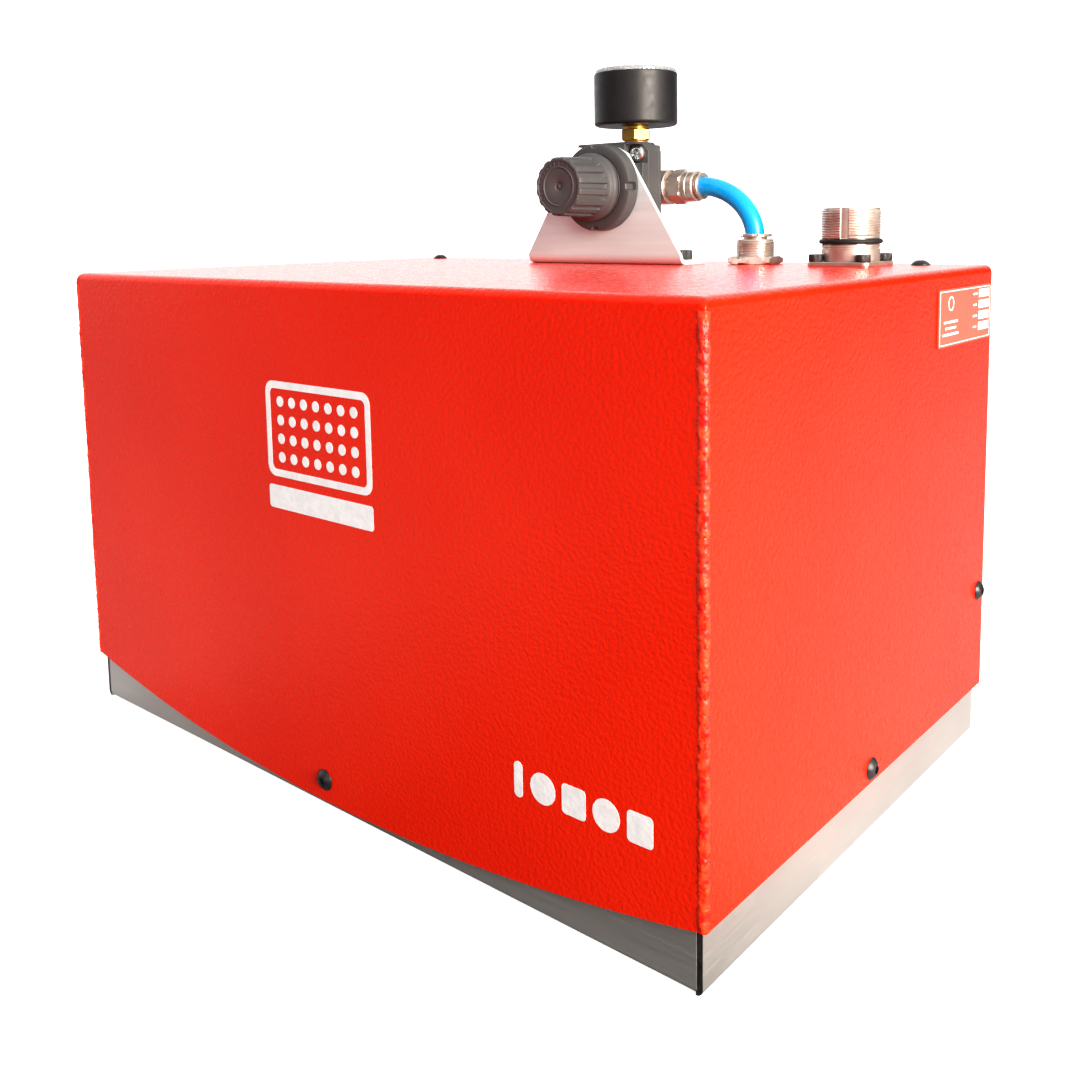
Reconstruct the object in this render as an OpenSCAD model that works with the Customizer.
// Pneumatic dot peen marking head: a stand-alone XY stage that carries an air-driven stylus,
// inside a folded sheet-metal housing with an air regulator, gauge and connectors on top.
// Frame: origin at the centre of the underside, +X to the right along the long front,
// -Y towards the front, +Z up. Millimetres.

/* [Housing] */
// Length of the red cover along X
cover_l = 315; // [305:1:325]
// Depth of the red cover along Y
cover_d = 203; // [203:1:215]
// Height of the top face above the underside
cover_top = 187; // [185:1:200]
// Height of the straight lower edge of the cover
cover_bottom = 20; // [16:1:24]
// Gap left under the lowest point of the curved front edge
apron_gap = 3.7; // [2:0.1:6]
// Thickness of the cover sheet
sheet = 2; // [1.5:0.1:2]
// Outer bend radius of the top folds
fold_r = 3; // [2.5:0.1:5]
// Thickness of the stainless tray sheet
tray_t = 1.5; // [1:0.1:1.5]
// Height of the tray walls
tray_h = 45; // [42:1:46]

/* [Marking stage] */
// Travel of the X carriage each way from the middle
x_travel = 60; // [40:1:60]
// Travel of the Y carriage each way from the middle
y_travel = 20; // [10:1:20]
// Thickness of the aluminium base plate
base_t = 12; // [10:1:12]
// Spacing of the mounting holes along X
mount_dx = 240; // [235:1:250]
// Spacing of the mounting holes along Y
mount_dy = 150; // [140:1:155]
// Wall radius of the M8 threaded mounting holes
mount_r = 3.4; // [3.4:0.1:3.5]
// Radius of the round X rails
rail_r = 6; // [5:0.5:6]
// Free stroke of the stylus needle
needle_stroke = 6; // [5:0.5:8]

/* [Air regulator] */
// X position of the regulator axis
reg_x = 5; // [0:0.5:8]
// Height of the regulator axis above the cover top
reg_rise = 33.3; // [32:0.1:36]
// Y position of the row of ports, bulkhead fitting and connector
row_y = 80; // [78:0.5:80]
// Y position of the front face of the regulator bracket
bracket_y = 56; // [55:0.5:56]
// Half width of the square regulator flange
reg_half = 19.3; // [18:0.1:19.5]
// Outer radius of the notched panel nut
panel_nut_r = 18.7; // [18:0.1:19]
// Radius of the pressure gauge case
gauge_r = 18.7; // [17:0.1:19]

/* [Fittings] */
// X position of the air bulkhead fitting
bulkhead_x = 66.5; // [65:0.5:70]
// X position of the round signal connector
connector_x = 109.5; // [105:0.5:112]
// Outer radius of the connector thread
connector_r = 11.5; // [11.5:0.1:12]
// Outer radius of the air tube
tube_r = 4; // [3:0.5:4]

/* [Hidden] */
$fn = 64;

// Clearances
run = 0.05;                              // radial running clearance of a shaft in a hole
seat = 0.02;                             // radial clearance of a fixed round fit
gap = 0.2;                               // gap between nested sheets
cut = 1;                                 // how far cutters run past the faces they open

// Housing
half_l = cover_l / 2;
half_d = cover_d / 2;
inner_x = half_l - sheet;                // inner faces of the cover sides
inner_y = half_d - sheet;                // inner face of the cover front
inner_top = cover_top - sheet;
tray_x = inner_x - gap;                  // outer faces of the tray
tray_y = inner_y - gap;
apron_drop = cover_bottom - apron_gap;
apron_inset = 2.5;                       // distance of the arc's ends from the cover's corners
apron_half = half_l - apron_inset;
apron_r = (apron_half * apron_half + apron_drop * apron_drop) / (2 * apron_drop);
corner_notch = 0.8;                      // how far the tray side walls stop short of the corner

// M4 button head screws
m4_r = 2;
m4_hole_r = 2.1;
button_r = 3.8;
button_h = 2.2;
m4_length = 8;
rivet_r = 3;                             // outer radius of the rivet nuts

// Screw places: front and side screws into the tray, rear screws into the panel flanges
front_screw_z = 11.6;
side_screw_z = 24.8;
rear_screw_z = 59.4;
rear_screw_y = half_d - 5;
top_screw_x = 134;
top_screw_y = 90;
flange_w = 20;                           // width of the rear panel flanges
flange_z = tray_h + 2;                   // lower end of the side flanges

// Stage
base_z = tray_t;
base_top = base_z + base_t;
rail_y = 49;
rail_z = 46;
screw_y = 75;
end_x = 103;                             // inner faces of the end plates
end_t = 10;
block_half = 14;                         // half width and height of a bearing block
bearing_r = 10.5;
bearing_l = 30;
x_plate_z = rail_z + block_half;         // underside of the X carriage plate
x_plate_t = 10;
y_base_z = x_plate_z + x_plate_t;        // top of the X carriage plate
y_rail_x = 21;
y_rail_l = 100;
y_rail_w = 9;
y_plate_z = y_base_z + 10;
y_plate_t = 10;
y_top = y_plate_z + y_plate_t;
y_screw_x = 24;
y_screw_z = y_top + 12;
x_screw_r = 5;
x_nut_r = 8;
journal_r = 4;                           // ends of the X screw, and the Y screw all along
shaft_r = 2.5;                           // motor shafts
m5_r = 2.5;
m5_sink = 5.5;                           // depth of the counterbores under the base plate
x_motor_half = 21;
x_motor_l = 34;
y_nut_r = 5.5;
y_motor_half = 14;
y_motor_l = 32;
y_bracket_y = 52;
y_bracket_t = 8;
stylus_r = 11;
stylus_bore_r = 6;
needle_r = 2;
stylus_z = 12;                           // lower end of the stylus body
stylus_top = y_top + 18;
slot_half_x = stylus_r + 3;              // stylus slot in the X carriage plate
slot_half_y = y_travel + stylus_r + 3;
window_l = 2 * (x_travel + stylus_r + 1);
window_w = 2 * (y_travel + stylus_r + 1);
needle_reach = 4;                        // how far the tip comes out of the underside at full stroke
needle_tip_z = needle_stroke - needle_reach;
piston_z = y_top + 4;                    // underside of the needle's piston

// Solenoid valve
valve_x = -133;
valve_port_y = -36;
valve_h = 24;

// Regulator
reg_z = cover_top + reg_rise;
bracket_t = 2;
bracket_x = reg_x - 2.5;
bracket_half = 42.2;                     // half width at the foot
bracket_shoulder_half = 14.8;            // half width where the top corners are cut
bracket_top_half = 9.5;
foot_d = 19;
foot_screw_dx = 36;
foot_screw_y = bracket_y + 12;
flange_y = bracket_y + bracket_t;        // front of the bonnet flange
flange_t = 12;
flange_cut = 4;                          // leg of the flange's cut corners
body_y = flange_y + flange_t;            // front of the regulator body
body_half = 14;                          // half width over the ports
core_half = 7.6;                         // half width of the body between them
core_d = 18.5;
neck_r = 14;
neck_hole_r = 14.2;
neck_front_r = 10.6;                     // front neck, inside the knob
bonnet_bore_r = 9.5;
bonnet_front_y = 41;                     // front end of the neck
spindle_r = 4;
nut_t = 7;
nut_y = bracket_y - nut_t;               // front of the panel nut
knob_y = 24.5;                           // front face of the knob
knob_r = 12.2;
knob_rear_r = 14.5;
knob_end_y = nut_y - 1.2;
port_r = 5.9;                            // wall radius of the G1/4 ports
port_l = 12;
bonnet_screw_d = 14.1;                   // distance of the bonnet screws from the axis, each way
bonnet_screw_r = 2;
screw_pocket = 4.1;                      // half size of the pockets round their heads
screw_pocket_d = 4.4;                    // depth of those pockets
diaphragm_r = 13.5;
seat_y = nut_y + 1;                      // front of the spring seat
seat_t = 3;
plate_y = nut_y + 18.4;                  // front of the diaphragm's plate
gauge_base_z = cover_top + 61;
gauge_top_z = gauge_base_z + 23;

// Fittings
outlet_x = reg_x + body_half;
outlet_end_x = outlet_x + 19.5;
tube_wall = 1.25;
tube_bend = 19;
bulkhead_r = 8;
bulkhead_flats = 20;
bulkhead_top = cover_top + 10.3;
bulkhead_low = cover_top - 22;
bulkhead_cap = 2.3;                      // height of the castellated release ring
m3_r = 1.5;
m3_spacing = 20;
shell_flange_t = 1.6;                    // thickness of the connector's square flange
oring_z = cover_top + 9.5;
key_angle = -78;                         // direction of the flat along the connector's thread
shell_low_r = 9.8;                       // radius of the connector below the cover

// A chain of straight cylinders and quarter bends along points with right-angle corners
module pipe(points, r, bend) {
    last = len(points) - 1;
    for (i = [0 : last - 1]) {
        d = points[i + 1] - points[i];
        u = d / norm(d);
        start = points[i] + (i == 0 ? 0 : bend) * u;
        length = norm(d) - (i == 0 ? 0 : bend) - (i == last - 1 ? 0 : bend);
        translate(start) along(u) cylinder(r = r, h = length);
    }
    for (i = [1 : last - 1]) {
        u = (points[i] - points[i - 1]) / norm(points[i] - points[i - 1]);
        v = (points[i + 1] - points[i]) / norm(points[i + 1] - points[i]);
        w = cross(u, v);
        c = points[i] + bend * (v - u);
        multmatrix([[-v.x, u.x, w.x, c.x], [-v.y, u.y, w.y, c.y], [-v.z, u.z, w.z, c.z], [0, 0, 0, 1]])
            rotate_extrude(angle = 90)
                translate([bend, 0]) circle(r);
    }
}

// Turns +Z to the axis-aligned direction u
module along(u) {
    turn = abs(u.x) > 0.5 ? [0, 90 * sign(u.x), 0] : abs(u.y) > 0.5 ? [-90 * sign(u.y), 0, 0]
         : [u.z < 0 ? 180 : 0, 0, 0];
    rotate(turn) children();
}

// Square with its four corners cut off at 45 degrees; corner is the length of the cut's legs
module cut_square(side, corner) {
    intersection() {
        square(side, center = true);
        rotate(45) square(sqrt(2) * (side - corner), center = true);
    }
}

module tube(r, bore, h) {
    difference() {
        cylinder(r = r, h = h);
        translate([0, 0, -cut]) cylinder(r = bore, h = h + 2 * cut);
    }
}

// Hexagonal prism, size measured across the flats
module hex(flats, h) {
    cylinder(r = flats / 2 / cos(30), h = h, $fn = 6);
}

// Screw with a domed head on z = 0 and its shank pointing down
module button_screw(length = m4_length) {
    dome_r = (button_r * button_r + button_h * button_h) / (2 * button_h);
    difference() {
        union() {
            intersection() {
                cylinder(r = button_r, h = button_h);
                translate([0, 0, button_h - dome_r]) sphere(dome_r);
            }
            translate([0, 0, -length]) cylinder(r = m4_r, h = length + 0.1);
        }
        translate([0, 0, button_h - 1.4]) hex(2.5, 2);
    }
}

// Cap screw with its head on z = 0 and its shank pointing down
module cap_screw(r, length) {
    difference() {
        union() {
            cylinder(r = 1.83 * r, h = 2 * r);
            translate([0, 0, -length]) cylinder(r = r, h = length + 0.1);
        }
        translate([0, 0, r]) hex(1.6 * r, 2 * r);
    }
}

// Stack of rings that stands for a coil spring
module ring_coil(r, wire_r, length, count) {
    for (i = [0 : count - 1])
        translate([0, 0, wire_r + i * (length - 2 * wire_r) / (count - 1)])
            rotate_extrude()
                translate([r, 0]) circle(wire_r);
}

// Puts children at each cover screw, with +Z along the outward normal of the sheet
module at_cover_screws() {
    translate([0, -half_d, front_screw_z]) rotate([90, 0, 0]) children();
    for (s = [-1, 1]) {
        translate([s * half_l, 0, side_screw_z]) rotate([0, 90 * s, 0]) children();
        translate([s * half_l, rear_screw_y, rear_screw_z]) rotate([0, 90 * s, 0]) children();
        translate([s * top_screw_x, top_screw_y, cover_top]) children();
    }
}

// Outer or inner form of the cover: rounded along the top front and top side folds, ending at y = rear
module folded_box(x, y, z, r, rear) {
    intersection() {
        translate([0, rear, 0]) rotate([90, 0, 0]) linear_extrude(y + rear + 1) {
            translate([-x, 0]) square([2 * x, z - r]);
            translate([-x + r, 0]) square([2 * (x - r), z]);
            for (s = [-1, 1])
                translate([s * (x - r), z - r]) circle(r);
        }
        translate([-x - 1, 0, 0]) rotate([90, 0, 90]) linear_extrude(2 * x + 2) {
            translate([-y, 0]) square([y + rear + 1, z - r]);
            translate([-y + r, 0]) square([y + rear + 1 - r, z]);
            translate([-y + r, z - r]) circle(r);
        }
    }
}

// Clears the holes for the rivet nuts behind the cover screws
module rivet_holes() {
    at_cover_screws() translate([0, 0, -m4_length - cut]) cylinder(r = rivet_r + seat, h = m4_length + cut);
}

module base_tray() {
    wall_x = tray_x - tray_t - 0.5;
    wall_y = tray_y - corner_notch;
    color([0.72, 0.71, 0.69]) difference() {
        union() {
            translate([-tray_x, -tray_y, 0]) cube([2 * tray_x, 2 * tray_y, tray_t]);
            for (s = [-1, 1]) {
                translate([-wall_x, s * (tray_y - tray_t / 2) - tray_t / 2, 0])
                    cube([2 * wall_x, tray_t, tray_h]);
                translate([s * (tray_x - tray_t / 2) - tray_t / 2, -wall_y, 0])
                    cube([tray_t, 2 * wall_y, tray_h]);
            }
        }
        translate([-window_l / 2, -window_w / 2, -cut]) cube([window_l, window_w, tray_t + 2 * cut]);
        for (x = [-1, 1], y = [-1, 1])
            translate([x * mount_dx / 2, y * mount_dy / 2, -cut]) cylinder(r = 5, h = tray_t + 2 * cut);
        rivet_holes();
    }
}

module base_plate() {
    plate_x = 150;
    plate_y = 88;
    color([0.78, 0.79, 0.8]) difference() {
        translate([-plate_x, -plate_y, base_z]) cube([2 * plate_x, 2 * plate_y, base_t]);
        translate([-window_l / 2, -window_w / 2, 0]) cube([window_l, window_w, base_top + cut]);
        for (x = [-1, 1], y = [-1, 1])
            translate([x * mount_dx / 2, y * mount_dy / 2, 0]) cylinder(r = mount_r, h = base_top + cut);
        at_frame_screws() {
            cylinder(r = m5_r + 0.2, h = base_top + cut);
            cylinder(r = 4.8, h = base_z + m5_sink);
        }
    }
}

module front_cover() {
    color([0.85, 0.09, 0.03]) difference() {
        union() {
            intersection() {
                folded_box(half_l, half_d, cover_top, fold_r, half_d);
                translate([-cover_l, -cover_d, cover_bottom]) cube([2 * cover_l, 2 * cover_d, cover_top]);
            }
            intersection() {
                translate([-half_l + apron_inset, -half_d, 0])
                    cube([cover_l - 2 * apron_inset, sheet, cover_bottom + 1]);
                translate([0, 0, apron_gap + apron_r]) rotate([90, 0, 0])
                    cylinder(r = apron_r, h = 3 * cover_d, center = true, $fn = 360);
            }
        }
        translate([0, 0, -cut]) folded_box(inner_x, inner_y, inner_top + cut, fold_r - sheet, half_d + 5);
        at_cover_screws() translate([0, 0, -2 * sheet]) cylinder(r = m4_hole_r, h = 4 * sheet);
        translate([bulkhead_x, row_y, inner_top - cut]) cylinder(r = bulkhead_r + 0.15, h = 2 * sheet);
        translate([connector_x, row_y, inner_top - cut]) cylinder(r = shell_low_r + gap, h = 2 * sheet);
        at_connector_screws() translate([0, 0, -8]) cylinder(r = m3_r + seat, h = 9);
        at_bracket_screws() translate([0, 0, -8]) cylinder(r = m4_r + seat, h = 9);
    }
}

// Flat back with a flange along the top and each side; the top one is cut back between its screw tabs
module rear_panel() {
    panel_x = inner_x - gap;
    panel_top = inner_top - 3 * gap;
    lip_w = 8;
    tab_w = 32;
    color([0.85, 0.09, 0.03]) difference() {
        union() {
            translate([-panel_x, inner_y, cover_bottom]) cube([2 * panel_x, sheet, panel_top - cover_bottom]);
            translate([-panel_x, half_d - lip_w, panel_top - sheet]) cube([2 * panel_x, lip_w, sheet]);
            for (s = [-1, 1]) {
                translate([s * (panel_x - tab_w / 2) - tab_w / 2, half_d - flange_w, panel_top - sheet])
                    cube([tab_w, flange_w, sheet]);
                translate([s * (panel_x - sheet / 2) - sheet / 2, half_d - flange_w, flange_z])
                    cube([sheet, flange_w, panel_top - flange_z]);
            }
        }
        rivet_holes();
    }
}

module cover_screws() {
    color([0.06, 0.06, 0.06]) at_cover_screws() button_screw();
}

module rivet_nuts() {
    color([0.6, 0.6, 0.58]) at_cover_screws()
        translate([0, 0, -m4_length - 0.5]) tube(rivet_r, m4_r + seat, m4_length + 0.5 - sheet - gap / 2);
}

module rating_plate() {
    plate_w = 51.4;
    plate_h = 20.6;
    plate_t = 0.8;
    color([0.9, 0.2, 0.08])
        translate([half_l, half_d - plate_w - 2.6, cover_top - plate_h - 6.8])
            cube([plate_t, plate_w, plate_h]);
}

// Puts children at the two screws in the bracket's foot
module at_bracket_screws() {
    for (s = [-1, 1])
        translate([bracket_x + s * foot_screw_dx, foot_screw_y, cover_top + bracket_t]) children();
}

module regulator_bracket() {
    plate_h = reg_rise + 17;
    shoulder_h = reg_rise + 14.3;
    bend_r = 2 * bracket_t;
    color([0.75, 0.75, 0.73]) difference() {
        union() {
            translate([bracket_x, bracket_y + bracket_t, cover_top]) rotate([90, 0, 0])
                linear_extrude(bracket_t)
                    polygon([[-bracket_half, bend_r], [bracket_half, bend_r],
                             [bracket_shoulder_half, shoulder_h], [bracket_top_half, plate_h],
                             [-bracket_top_half, plate_h], [-bracket_shoulder_half, shoulder_h]]);
            translate([bracket_x - bracket_half, bracket_y, cover_top]) rotate([90, 0, 90])
                linear_extrude(2 * bracket_half) {
                    intersection() {
                        translate([bend_r, bend_r]) difference() {
                            circle(bend_r);
                            circle(bend_r - bracket_t);
                        }
                        square(bend_r);
                    }
                    translate([bend_r, 0]) square([foot_d - bend_r, bracket_t]);
                }
        }
        on_regulator_axis(bracket_y - cut) cylinder(r = neck_hole_r, h = bracket_t + 2 * cut);
        at_bracket_screws() translate([0, 0, -3]) cylinder(r = m4_hole_r, h = 4);
    }
}

module bracket_screws() {
    color([0.06, 0.06, 0.06]) at_bracket_screws() cap_screw(m4_r, 7);
}

// Puts children on the regulator axis, with +Z pointing backwards along +Y from y = 0
module on_regulator_axis(y) {
    translate([reg_x, y, reg_z]) rotate([-90, 0, 0]) children();
}

// Puts children at the four bonnet screws, with +Z pointing to the front
module at_bonnet_screws(y) {
    for (x = [-1, 1], z = [-1, 1])
        translate([reg_x + x * bonnet_screw_d, y, reg_z + z * bonnet_screw_d]) rotate([90, 0, 0]) children();
}

// Flange plate and shoulder in front, a narrow core that carries the gauge, and round port bosses
module regulator_body() {
    port_top = reg_z + reg_half;
    shoulder_d = 6.5;
    core_drop = 10;
    boss_r = 7.6;
    color([0.24, 0.24, 0.25]) difference() {
        union() {
            on_regulator_axis(body_y) linear_extrude(2) cut_square(2 * reg_half, flange_cut);
            on_regulator_axis(body_y) linear_extrude(shoulder_d) cut_square(2 * body_half, flange_cut / 2);
            translate([reg_x - core_half, body_y, reg_z - core_drop])
                cube([2 * core_half, core_d, core_drop + reg_half]);
            translate([reg_x - body_half, row_y, reg_z]) rotate([0, 90, 0])
                cylinder(r = boss_r, h = 2 * body_half);
        }
        on_regulator_axis(body_y - 1) cylinder(r = 8, h = 6);
        for (s = [-1, 1])
            translate([reg_x + s * body_half, row_y, reg_z]) rotate([0, -90 * s, 0])
                translate([0, 0, -1]) cylinder(r = port_r, h = port_l + 1);
        translate([reg_x, row_y, port_top - 8]) cylinder(r = 4.4, h = 9);
        translate([reg_x, row_y, reg_z]) cylinder(r = 1.5, h = reg_half);
        translate([reg_x, row_y, reg_z]) rotate([0, 90, 0]) cylinder(r = 3, h = 2 * body_half, center = true);
        at_bonnet_screws(body_y) translate([0, 0, -3]) cylinder(r = bonnet_screw_r + 0.05, h = 6);
    }
}

module regulator_bonnet() {
    color([0.27, 0.26, 0.26]) difference() {
        union() {
            on_regulator_axis(flange_y) linear_extrude(flange_t - gap) cut_square(2 * reg_half, flange_cut);
            on_regulator_axis(nut_y) cylinder(r = neck_r, h = flange_y - nut_y + 1);
            on_regulator_axis(bonnet_front_y) cylinder(r = neck_front_r, h = nut_y - bonnet_front_y + 1);
        }
        on_regulator_axis(bonnet_front_y + 2) cylinder(r = bonnet_bore_r, h = body_y);
        on_regulator_axis(bonnet_front_y - cut) cylinder(r = spindle_r + run, h = 2 * cut + 2);
        on_regulator_axis(body_y - 1.5) cylinder(r = diaphragm_r + gap, h = 3);
        at_bonnet_screws(body_y + cut) cylinder(r = bonnet_screw_r + 0.05, h = flange_t + 2 * cut);
        for (x = [-1, 1], z = [-1, 1])
            translate([reg_x, flange_y - cut, reg_z + z * bonnet_screw_d]) mirror([x < 0 ? 1 : 0, 0, 0])
                translate([bonnet_screw_d - screw_pocket, 0, -screw_pocket])
                    cube([reg_half, screw_pocket_d + cut, 2 * screw_pocket]);
    }
}

module bonnet_screws() {
    head_r = 3.7;
    head_h = 2.6;
    color([0.8, 0.8, 0.8]) at_bonnet_screws(flange_y + screw_pocket_d) difference() {
        union() {
            intersection() {
                cylinder(r = head_r, h = head_h);
                translate([0, 0, -2]) sphere(head_r + 1.3);
            }
            translate([0, 0, -8.5]) cylinder(r = bonnet_screw_r, h = 8.6);
        }
        for (a = [0, 90])
            rotate(a) translate([-2, -0.4, 1.2]) cube([4, 0.8, 2]);
    }
}

module panel_nut() {
    notch_w = 4;
    color([0.27, 0.26, 0.26]) on_regulator_axis(nut_y) difference() {
        tube(panel_nut_r, neck_r + seat, nut_t);
        for (a = [0 : 90 : 270])
            rotate(a) translate([panel_nut_r - 1.6, -notch_w / 2, -1]) cube([3, notch_w, nut_t - 1]);
    }
}

// Cup with a recessed face, grip slots open to the front and a flared rear edge
module regulator_knob() {
    slots = 16;
    slot_w = 2.3;
    slot_floor_r = 11.7;
    slot_l = 17.8;
    face_t = 2.2;
    recess_r = 9;
    recess_d = 0.6;
    edge = 0.8;
    depth = knob_end_y - knob_y;
    color([0.27, 0.26, 0.26]) on_regulator_axis(knob_y) difference() {
        rotate_extrude()
            polygon([[0, recess_d], [recess_r, recess_d], [recess_r + 0.4, 0], [knob_r - edge, 0],
                     [knob_r, edge], [knob_r + 0.5, depth - 4.2], [knob_rear_r, depth - 2.9],
                     [knob_rear_r, depth - edge], [knob_rear_r - edge, depth], [0, depth]]);
        for (i = [0 : slots - 1])
            rotate(i * 360 / slots) translate([slot_floor_r, -slot_w / 2, -cut])
                cube([3, slot_w, slot_l + cut]);
        translate([0, 0, face_t]) cylinder(r = neck_front_r + 0.3, h = depth);
    }
}

// Head inside the knob, shaft through the neck and a thrust collar behind its front wall
module adjusting_spindle() {
    thrust_y = bonnet_front_y + 2 + run;
    color([0.72, 0.6, 0.32]) {
        on_regulator_axis(knob_y + 3.2) cylinder(r = 2 * spindle_r, h = 4);
        on_regulator_axis(knob_y + 7) cylinder(r = spindle_r, h = 24);
        on_regulator_axis(thrust_y) cylinder(r = 1.5 * spindle_r, h = 1.5);
    }
}

module spring_seat() {
    color([0.72, 0.6, 0.32]) on_regulator_axis(seat_y) tube(bonnet_bore_r - gap, spindle_r + run, seat_t);
}

module regulator_spring() {
    front_y = seat_y + seat_t + 0.1;
    color([0.6, 0.6, 0.6]) on_regulator_axis(front_y) ring_coil(7.4, 0.9, plate_y - 0.1 - front_y, 6);
}

module diaphragm() {
    back_y = body_y - 0.3;
    color([0.1, 0.1, 0.1]) {
        on_regulator_axis(back_y - 1) cylinder(r = diaphragm_r, h = 1);
        on_regulator_axis(plate_y) cylinder(r = 9, h = back_y - 0.9 - plate_y);
    }
}

module gauge_case() {
    wall = 1.2;
    bottom_r = 3;
    color([0.05, 0.05, 0.05]) translate([reg_x, row_y, gauge_base_z]) difference() {
        rotate_extrude() {
            square([gauge_r - bottom_r, 3]);
            translate([0, bottom_r]) square([gauge_r, gauge_top_z - gauge_base_z - bottom_r]);
            translate([gauge_r - bottom_r, bottom_r]) intersection() {
                circle(bottom_r);
                translate([0, -bottom_r]) square(bottom_r);
            }
        }
        translate([0, 0, wall]) cylinder(r = gauge_r - wall, h = 30);
        translate([0, 0, -1]) cylinder(r = 3 + seat, h = 5);
    }
}

module gauge_stem() {
    port_top = reg_z + reg_half;
    color([0.8, 0.6, 0.2]) translate([reg_x, row_y, 0]) {
        translate([0, 0, port_top - 7]) cylinder(r = 4.4 - seat, h = 8);
        translate([0, 0, port_top]) cylinder(r = 5.5, h = 2);
        translate([0, 0, port_top + 1.5]) hex(12, gauge_base_z - port_top - 1.5);
        translate([0, 0, gauge_base_z - 0.5]) cylinder(r = 3, h = 8);
    }
}

module gauge_dial() {
    color([0.95, 0.95, 0.93]) translate([reg_x, row_y, gauge_top_z - 4]) tube(gauge_r - 1.4, 1, 0.8);
}

// The hub turns on the dial's centre hole; the hand points to the low end of the scale
module gauge_pointer() {
    color([0.05, 0.05, 0.05]) translate([reg_x, row_y, gauge_top_z - 5]) {
        cylinder(r = 1 - run, h = 2.5);
        translate([0, 0, 2]) cylinder(r = 2, h = 1);
        translate([0, 0, 2.2]) rotate(225) translate([-4, -0.5, 0]) cube([17, 1, 0.5]);
    }
}

module gauge_lens() {
    rim = 1.6;
    crown = 2.8;
    dome_r = (gauge_r * gauge_r + (crown - rim) * (crown - rim)) / (2 * (crown - rim));
    color([0.9, 0.93, 0.95, 0.35]) translate([reg_x, row_y, gauge_top_z]) difference() {
        intersection() {
            cylinder(r = gauge_r - 0.3, h = crown);
            translate([0, 0, crown - dome_r]) sphere(dome_r, $fn = 200);
        }
        translate([0, 0, -1]) cylinder(r = gauge_r - 1.6, h = 1.6);
    }
}

module outlet_fitting() {
    color([0.78, 0.72, 0.68]) difference() {
        translate([0, row_y, reg_z]) rotate([0, 90, 0]) {
            translate([0, 0, outlet_x - 9]) cylinder(r = port_r - seat, h = 10);
            translate([0, 0, outlet_x]) cylinder(r = 7.7, h = 5.6);
            translate([0, 0, outlet_x + 5.5]) cylinder(r = 7.1, h = 1.6);
            translate([0, 0, outlet_x + 7]) hex(14.4, 6.5);
            translate([0, 0, outlet_x + 13.4]) cylinder(r = 7.2, h = 6.1);
        }
        translate([outlet_x - 10, row_y, reg_z]) rotate([0, 90, 0]) cylinder(r = 2.8, h = 30);
        translate([outlet_end_x - 12, row_y, reg_z]) rotate([0, 90, 0]) cylinder(r = tube_r + 0.1, h = 20);
        translate([outlet_end_x - 5, row_y, reg_z]) rotate([0, 90, 0]) cylinder(r = tube_r + 1.1, h = 20);
    }
}

module outlet_collet() {
    color([0.78, 0.72, 0.68]) translate([outlet_end_x - 3.5, row_y, reg_z]) rotate([0, 90, 0]) {
        tube(tube_r + 1.1 - run, tube_r + run, 5);
        translate([0, 0, 4.8]) tube(tube_r + 1.9, tube_r + run, 1.2);
    }
}

module air_tube() {
    color([0.0, 0.62, 0.93])
        difference() {
            pipe([[outlet_end_x - 11, row_y, reg_z], [bulkhead_x, row_y, reg_z],
                  [bulkhead_x, row_y, bulkhead_top - 12]], tube_r, tube_bend);
            translate([outlet_end_x - 12, row_y, reg_z]) rotate([0, 90, 0])
                cylinder(r = tube_r - tube_wall, h = 8);
            translate([bulkhead_x, row_y, bulkhead_top - 13]) cylinder(r = tube_r - tube_wall, h = 8);
        }
}

module bulkhead_fitting() {
    color([0.78, 0.72, 0.68]) translate([bulkhead_x, row_y, 0]) difference() {
        union() {
            translate([0, 0, bulkhead_low]) cylinder(r = bulkhead_r, h = bulkhead_top - bulkhead_low);
            translate([0, 0, cover_top]) rotate(30) hex(bulkhead_flats, 3.4);
        }
        translate([0, 0, bulkhead_low - 1]) cylinder(r = 2.8, h = 60);
        translate([0, 0, bulkhead_top - 13]) cylinder(r = tube_r + 0.1, h = 20);
        translate([0, 0, bulkhead_top - 5]) cylinder(r = tube_r + 1.1, h = 20);
        translate([0, 0, bulkhead_low - 1]) cylinder(r = tube_r + 0.1, h = 13);
    }
}

// Release ring with notches round its rim; pushing it in frees the tube
module bulkhead_collet() {
    notches = 6;
    color([0.78, 0.72, 0.68]) translate([bulkhead_x, row_y, bulkhead_top]) difference() {
        union() {
            translate([0, 0, -3.5]) tube(tube_r + 1.1 - run, tube_r + run, 4);
            translate([0, 0, 1.05]) tube(7, tube_r + run, bulkhead_cap - 1.05);
            translate([0, 0, 0.4]) tube(tube_r + 1.05, tube_r + run, 1);
        }
        for (i = [0 : notches - 1])
            rotate(30 + i * 360 / notches) translate([5.6, -0.9, bulkhead_cap - 0.9]) cube([3, 1.8, 2]);
    }
}

module bulkhead_nut() {
    color([0.78, 0.72, 0.68]) translate([bulkhead_x, row_y, inner_top - 6]) difference() {
        rotate(30) hex(bulkhead_flats, 6);
        translate([0, 0, -1]) cylinder(r = bulkhead_r + seat, h = 8);
    }
}

// Puts children at the four connector screws, on top of the flange
module at_connector_screws() {
    for (x = [-1, 1], y = [-1, 1])
        translate([connector_x + x * m3_spacing / 2, row_y + y * m3_spacing / 2, cover_top + shell_flange_t])
            children();
}

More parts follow.
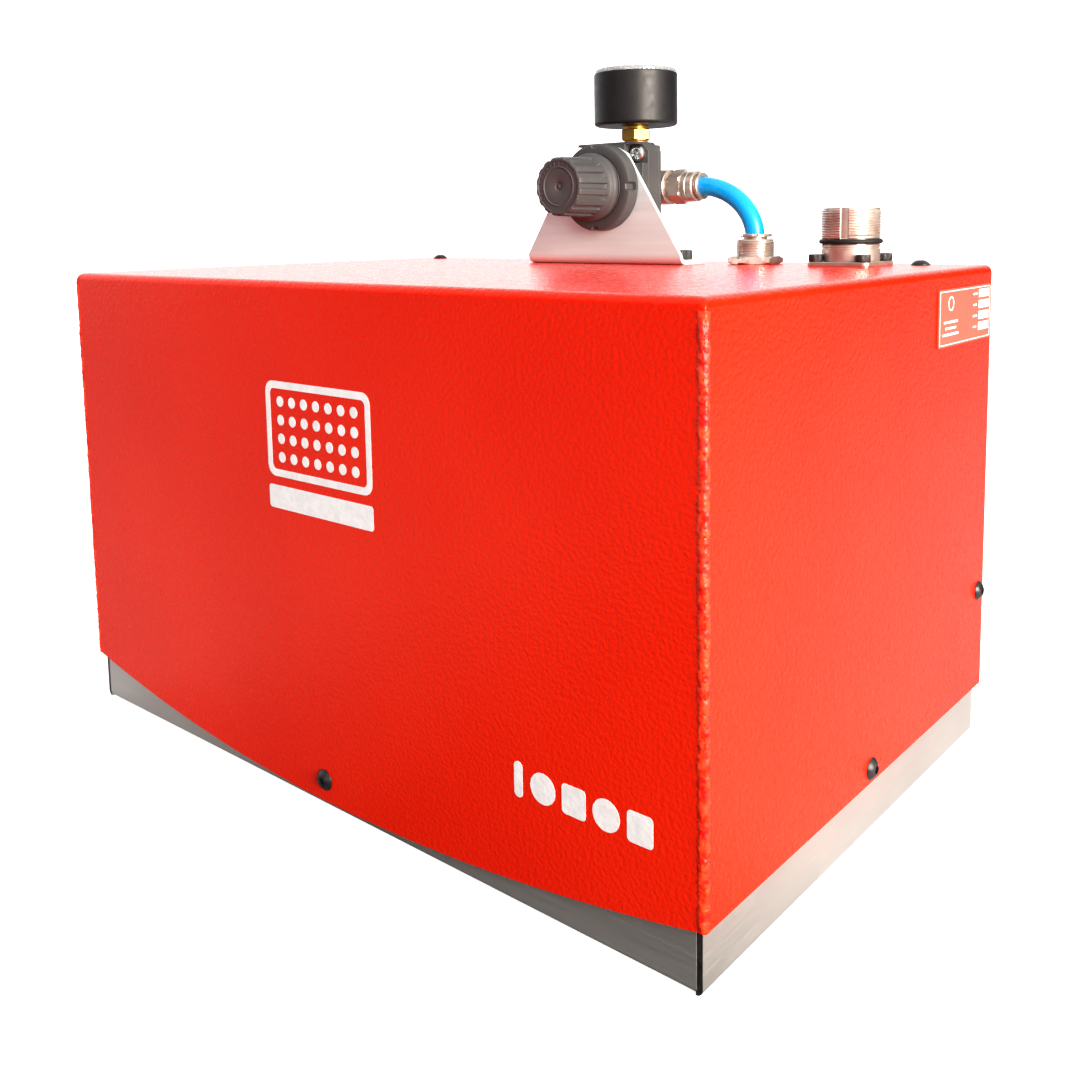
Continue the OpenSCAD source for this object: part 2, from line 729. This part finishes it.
module connector_shell() {
    top = cover_top + 22.6;
    groove_half = 1.1;
    neck_z = cover_top + shell_flange_t - 0.1;
    groove_z = oring_z - groove_half;
    thread_z = oring_z + groove_half - 0.1;
    color([0.78, 0.73, 0.7]) difference() {
        translate([connector_x, row_y, 0]) union() {
            translate([-13, -13, cover_top]) cube([26, 26, shell_flange_t]);
            translate([0, 0, inner_top - 14]) cylinder(r = shell_low_r, h = 17);
            translate([0, 0, neck_z]) cylinder(r = 11.3, h = groove_z - neck_z);
            translate([0, 0, groove_z - 0.1]) cylinder(r = 10.4, h = 2 * groove_half + 0.1);
            translate([0, 0, thread_z]) cylinder(r = connector_r, h = top - thread_z);
        }
        translate([connector_x, row_y, cover_top - 1]) cylinder(r = 9.2, h = 30);
        translate([connector_x, row_y, inner_top - 15]) cylinder(r = 8.2, h = 30);
        translate([connector_x, row_y, thread_z - cut]) rotate(key_angle)
            translate([connector_r - 0.75, -1.6, 0]) cube([3, 3.2, 20]);
        at_connector_screws() translate([0, 0, -4]) cylinder(r = m3_r + 0.1, h = 5);
    }
}

module connector_oring() {
    color([0.03, 0.03, 0.03]) translate([connector_x, row_y, oring_z]) rotate_extrude()
        translate([11.35, 0]) circle(0.9);
}

module connector_insert() {
    color([0.08, 0.08, 0.08]) translate([connector_x, row_y, 0]) difference() {
        translate([0, 0, inner_top - 10]) cylinder(r = 8.2 - seat, h = 24);
        at_pin_circle() translate([0, 0, inner_top - 11]) cylinder(r = 0.52, h = 30);
    }
}

// Puts children at the contacts: nine on a circle and three inside it
module at_pin_circle() {
    for (i = [0 : 8])
        rotate(i * 40) translate([5.6, 0, 0]) children();
    for (i = [0 : 2])
        rotate(i * 120) translate([2.2, 0, 0]) children();
}

module connector_pins() {
    color([0.9, 0.72, 0.3]) translate([connector_x, row_y, inner_top - 13]) at_pin_circle()
        cylinder(r = 0.5, h = 34);
}

module connector_screws() {
    color([0.06, 0.06, 0.06]) at_connector_screws() cap_screw(m3_r, 7);
}

// Puts children at the four screws that hold the end plates, starting at z = 0
module at_frame_screws() {
    for (x = [-1, 1], y = [-60, 62])
        translate([x * (end_x + end_t / 2), y, 0]) children();
}

// Upright plate that carries the rail ends and a lead screw bearing; side is -1 for left, 1 for right
module end_plate(side) {
    low_y = -68;
    high_y = 92;
    face = side < 0 ? -end_x - end_t : end_x;
    color([0.8, 0.81, 0.82]) difference() {
        translate([face, low_y, base_top]) cube([end_t, high_y - low_y, rail_z + 22 - base_top]);
        for (y = [-rail_y, rail_y])
            translate([face - 1, y, rail_z]) rotate([0, 90, 0]) cylinder(r = rail_r + seat, h = end_t + 2);
        translate([face - 1, screw_y, rail_z]) rotate([0, 90, 0])
            cylinder(r = x_screw_r + 0.5, h = end_t + 2);
        translate([side < 0 ? face - 1 : face + end_t - 5, screw_y, rail_z]) rotate([0, 90, 0])
            cylinder(r = 8 + seat, h = 6);
        at_frame_screws() translate([0, 0, base_top - cut]) cylinder(r = m5_r + seat, h = 13);
    }
}

module left_end_plate() {
    end_plate(-1);
}

module right_end_plate() {
    end_plate(1);
}

module frame_screws() {
    color([0.1, 0.1, 0.1]) at_frame_screws() translate([0, 0, base_z + m5_sink - 0.1]) rotate([180, 0, 0])
        cap_screw(m5_r, 17);
}

module x_rails() {
    color([0.85, 0.85, 0.86]) for (y = [-rail_y, rail_y])
        translate([-end_x - end_t, y, rail_z]) rotate([0, 90, 0])
            cylinder(r = rail_r, h = 2 * (end_x + end_t));
}

module x_bearing_blocks() {
    block_l = 64;
    color([0.7, 0.71, 0.73]) for (y = [-rail_y, rail_y])
        translate([-block_l / 2, y, rail_z]) rotate([0, 90, 0]) difference() {
            translate([-block_half, -block_half, 0]) cube([2 * block_half, 2 * block_half, block_l]);
            translate([0, 0, -1]) cylinder(r = bearing_r + seat, h = block_l + 2);
        }
}

module linear_bearings() {
    color([0.55, 0.56, 0.58]) for (y = [-rail_y, rail_y], x = [-31, 1])
        translate([x, y, rail_z]) rotate([0, 90, 0]) tube(bearing_r, rail_r + run, bearing_l);
}

module x_carriage() {
    plate_half = 34;
    low_y = -64;
    high_y = 92;
    nut_half = 10;
    color([0.8, 0.81, 0.82]) difference() {
        union() {
            translate([-plate_half, low_y, x_plate_z]) cube([2 * plate_half, high_y - low_y, x_plate_t]);
            translate([-nut_half, screw_y - nut_half, rail_z - nut_half])
                cube([2 * nut_half, 2 * nut_half, x_plate_z - rail_z + nut_half + 1]);
        }
        translate([-slot_half_x, -slot_half_y, x_plate_z - cut])
            cube([2 * slot_half_x, 2 * slot_half_y, x_plate_t + 2 * cut]);
        translate([-nut_half - cut, screw_y, rail_z]) rotate([0, 90, 0])
            cylinder(r = x_nut_r + seat, h = 2 * (nut_half + cut));
    }
}

module x_nut() {
    color([0.75, 0.58, 0.25]) translate([-10, screw_y, rail_z]) rotate([0, 90, 0]) {
        tube(x_nut_r, x_screw_r + run, 24);
        translate([0, 0, 20.1]) tube(x_nut_r + 3, x_screw_r + run, 4);
    }
}

module x_lead_screw() {
    color([0.6, 0.61, 0.63]) translate([0, screw_y, rail_z]) rotate([0, 90, 0]) {
        translate([0, 0, -end_x - end_t - x_motor_l + 2]) cylinder(r = shaft_r, h = x_motor_l);
        translate([0, 0, -end_x - end_t]) cylinder(r = journal_r, h = 2 * (end_x + end_t));
        translate([0, 0, -end_x + 1]) cylinder(r = x_screw_r, h = 2 * (end_x - 1));
    }
}

module x_screw_bearings() {
    color([0.5, 0.5, 0.52]) for (x = [-end_x - end_t, end_x + end_t - 5])
        translate([x, screw_y, rail_z]) rotate([0, 90, 0]) tube(8, journal_r + run, 5);
}

// Square stepper motor with chamfered corners, its mounting face on z = 0 and its body below
module stepper(half, length) {
    difference() {
        translate([0, 0, -length]) linear_extrude(length) cut_square(2 * half, 0.2 * half);
        translate([0, 0, -length - cut]) cylinder(r = shaft_r + run, h = length + 2 * cut);
    }
}

module x_motor() {
    color([0.12, 0.12, 0.13]) translate([-end_x - end_t, screw_y, rail_z]) rotate([0, 90, 0])
        stepper(x_motor_half, x_motor_l);
}

module y_rails() {
    color([0.85, 0.85, 0.86]) for (x = [-y_rail_x, y_rail_x])
        translate([x - y_rail_w / 2, -y_rail_l / 2, y_base_z]) cube([y_rail_w, y_rail_l, 6.5]);
}

module y_blocks() {
    color([0.55, 0.56, 0.58]) for (x = [-y_rail_x, y_rail_x])
        translate([x, -15, y_base_z + 1.5]) difference() {
            translate([-10, 0, 0]) cube([20, 30, y_plate_z - y_base_z - 1.5]);
            translate([-y_rail_w / 2 - run, -cut, -cut]) cube([y_rail_w + 2 * run, 30 + 2 * cut, 6 + run]);
        }
}

module y_carriage() {
    plate_half_x = 32;
    plate_half_y = 25;
    color([0.8, 0.81, 0.82]) difference() {
        union() {
            translate([-plate_half_x, -plate_half_y, y_plate_z])
                cube([2 * plate_half_x, 2 * plate_half_y, y_plate_t]);
            translate([y_screw_x - 7, -10, y_top - 0.5]) cube([14, 20, 20]);
        }
        translate([0, 0, y_plate_z - cut]) cylinder(r = stylus_r + seat, h = y_plate_t + 2 * cut);
        translate([y_screw_x, -10 - cut, y_screw_z]) rotate([-90, 0, 0])
            cylinder(r = y_nut_r + seat, h = 20 + 2 * cut);
    }
}

// Front bracket holds the free end of the Y lead screw, rear bracket carries the Y motor
module y_brackets() {
    color([0.8, 0.81, 0.82]) for (y = [-y_bracket_y - y_bracket_t, y_bracket_y])
        difference() {
            translate([y_screw_x - 14, y, y_base_z]) cube([28, y_bracket_t, y_screw_z + 14 - y_base_z]);
            translate([y_screw_x, y - cut, y_screw_z]) rotate([-90, 0, 0])
                cylinder(r = journal_r + run, h = y_bracket_t + 2 * cut);
        }
}

module y_lead_screw() {
    reach = y_bracket_y + y_bracket_t;
    color([0.6, 0.61, 0.63]) translate([y_screw_x, 0, y_screw_z]) rotate([-90, 0, 0]) {
        translate([0, 0, -reach]) cylinder(r = journal_r, h = 2 * reach);
        translate([0, 0, reach - 0.1]) cylinder(r = shaft_r, h = y_motor_l - 2);
    }
}

module y_nut() {
    color([0.75, 0.58, 0.25]) translate([y_screw_x, -10, y_screw_z]) rotate([-90, 0, 0]) {
        tube(y_nut_r, journal_r + run, 24);
        translate([0, 0, 20.1]) tube(y_nut_r + 1.3, journal_r + run, 4);
    }
}

module y_motor() {
    color([0.12, 0.12, 0.13]) translate([y_screw_x, y_bracket_y + y_bracket_t, y_screw_z]) rotate([90, 0, 0])
        stepper(y_motor_half, y_motor_l);
}

module stylus_body() {
    color([0.7, 0.7, 0.72]) difference() {
        union() {
            translate([0, 0, stylus_z]) cylinder(r = stylus_r, h = stylus_top - stylus_z);
            translate([0, 0, y_top]) cylinder(r = 15, h = 4);
            translate([0, 0, stylus_z - 4]) cylinder(r = 6, h = 5);
        }
        translate([0, 0, stylus_z + 6]) cylinder(r = stylus_bore_r, h = stylus_top);
        cylinder(r = needle_r + run, h = stylus_z + 7);
    }
}

module stylus_needle() {
    color([0.5, 0.5, 0.52]) translate([0, 0, needle_tip_z]) {
        cylinder(r1 = 0.15, r2 = needle_r, h = 4);
        translate([0, 0, 4]) cylinder(r = needle_r, h = piston_z - needle_tip_z - 3);
        translate([0, 0, piston_z - needle_tip_z]) cylinder(r = stylus_bore_r - run, h = 6);
    }
}

module stylus_spring() {
    low = stylus_z + 6.2;
    color([0.6, 0.6, 0.6]) translate([0, 0, low]) ring_coil(3.9, 0.6, piston_z - low - 0.2, 12);
}

module stylus_cap() {
    color([0.78, 0.72, 0.68]) difference() {
        union() {
            translate([0, 0, stylus_top]) cylinder(r = stylus_r, h = 6);
            translate([0, 0, stylus_top + 5.9]) hex(12, 5);
            translate([0, 0, stylus_top + 10.8]) cylinder(r = 5, h = 5);
        }
        translate([0, 0, stylus_top - 1]) cylinder(r = 2, h = 20);
    }
}

// Valve block with its coil in front and the push-in port behind
module solenoid_valve() {
    color([0.15, 0.15, 0.16]) translate([valve_x, valve_port_y, base_top]) difference() {
        union() {
            translate([-10, -39, 0]) cube([20, 50, valve_h]);
            translate([-9, -36, valve_h - 0.1]) cube([18, 22, 26]);
            translate([0, 0, valve_h - 0.1]) cylinder(r = 7, h = 10);
        }
        translate([0, 0, 10]) cylinder(r = tube_r + 0.1, h = 30);
    }
}

// Carries air from the bulkhead fitting along the rear and down to the valve
module supply_tube() {
    high_z = 150;
    color([0.0, 0.62, 0.93])
        pipe([[bulkhead_x, row_y, bulkhead_low + 10], [bulkhead_x, row_y, high_z], [valve_x, row_y, high_z],
              [valve_x, valve_port_y, high_z], [valve_x, valve_port_y, base_top + valve_h]], tube_r, 12);
}

module junction_board() {
    board_x = 128;
    color([0.05, 0.3, 0.14]) {
        translate([board_x, -60, base_top + 6]) cube([1.6, 100, 62]);
        for (y = [-54, 34])
            translate([board_x - 6, y - 3, base_top]) cube([6, 6, 14]);
        for (y = [-45, -15, 15])
            translate([board_x + 1.5, y - 8, base_top + 50]) cube([9, 16, 10]);
    }
}

// Cable from the connector's rear end to the junction board
module wiring_harness() {
    high_z = 140;
    port = [133.5, 15, base_top + 60.2];
    color([0.1, 0.1, 0.1])
        pipe([[connector_x, row_y, inner_top - 14.2], [connector_x, row_y, high_z], [port.x, row_y, high_z],
              [port.x, port.y, high_z], port], 3.5, 10);
}

base_tray();
base_plate();
front_cover();
rear_panel();
cover_screws();
rivet_nuts();
rating_plate();
regulator_bracket();
bracket_screws();
regulator_body();
regulator_bonnet();
bonnet_screws();
panel_nut();
regulator_knob();
adjusting_spindle();
spring_seat();
regulator_spring();
diaphragm();
gauge_case();
gauge_stem();
gauge_dial();
gauge_pointer();
gauge_lens();
outlet_fitting();
outlet_collet();
air_tube();
bulkhead_fitting();
bulkhead_collet();
bulkhead_nut();
connector_shell();
connector_oring();
connector_insert();
connector_pins();
connector_screws();
left_end_plate();
right_end_plate();
frame_screws();
x_rails();
x_bearing_blocks();
linear_bearings();
x_carriage();
x_nut();
x_lead_screw();
x_screw_bearings();
x_motor();
y_rails();
y_blocks();
y_carriage();
y_brackets();
y_lead_screw();
y_nut();
y_motor();
stylus_body();
stylus_needle();
stylus_spring();
stylus_cap();
solenoid_valve();
supply_tube();
junction_board();
wiring_harness();
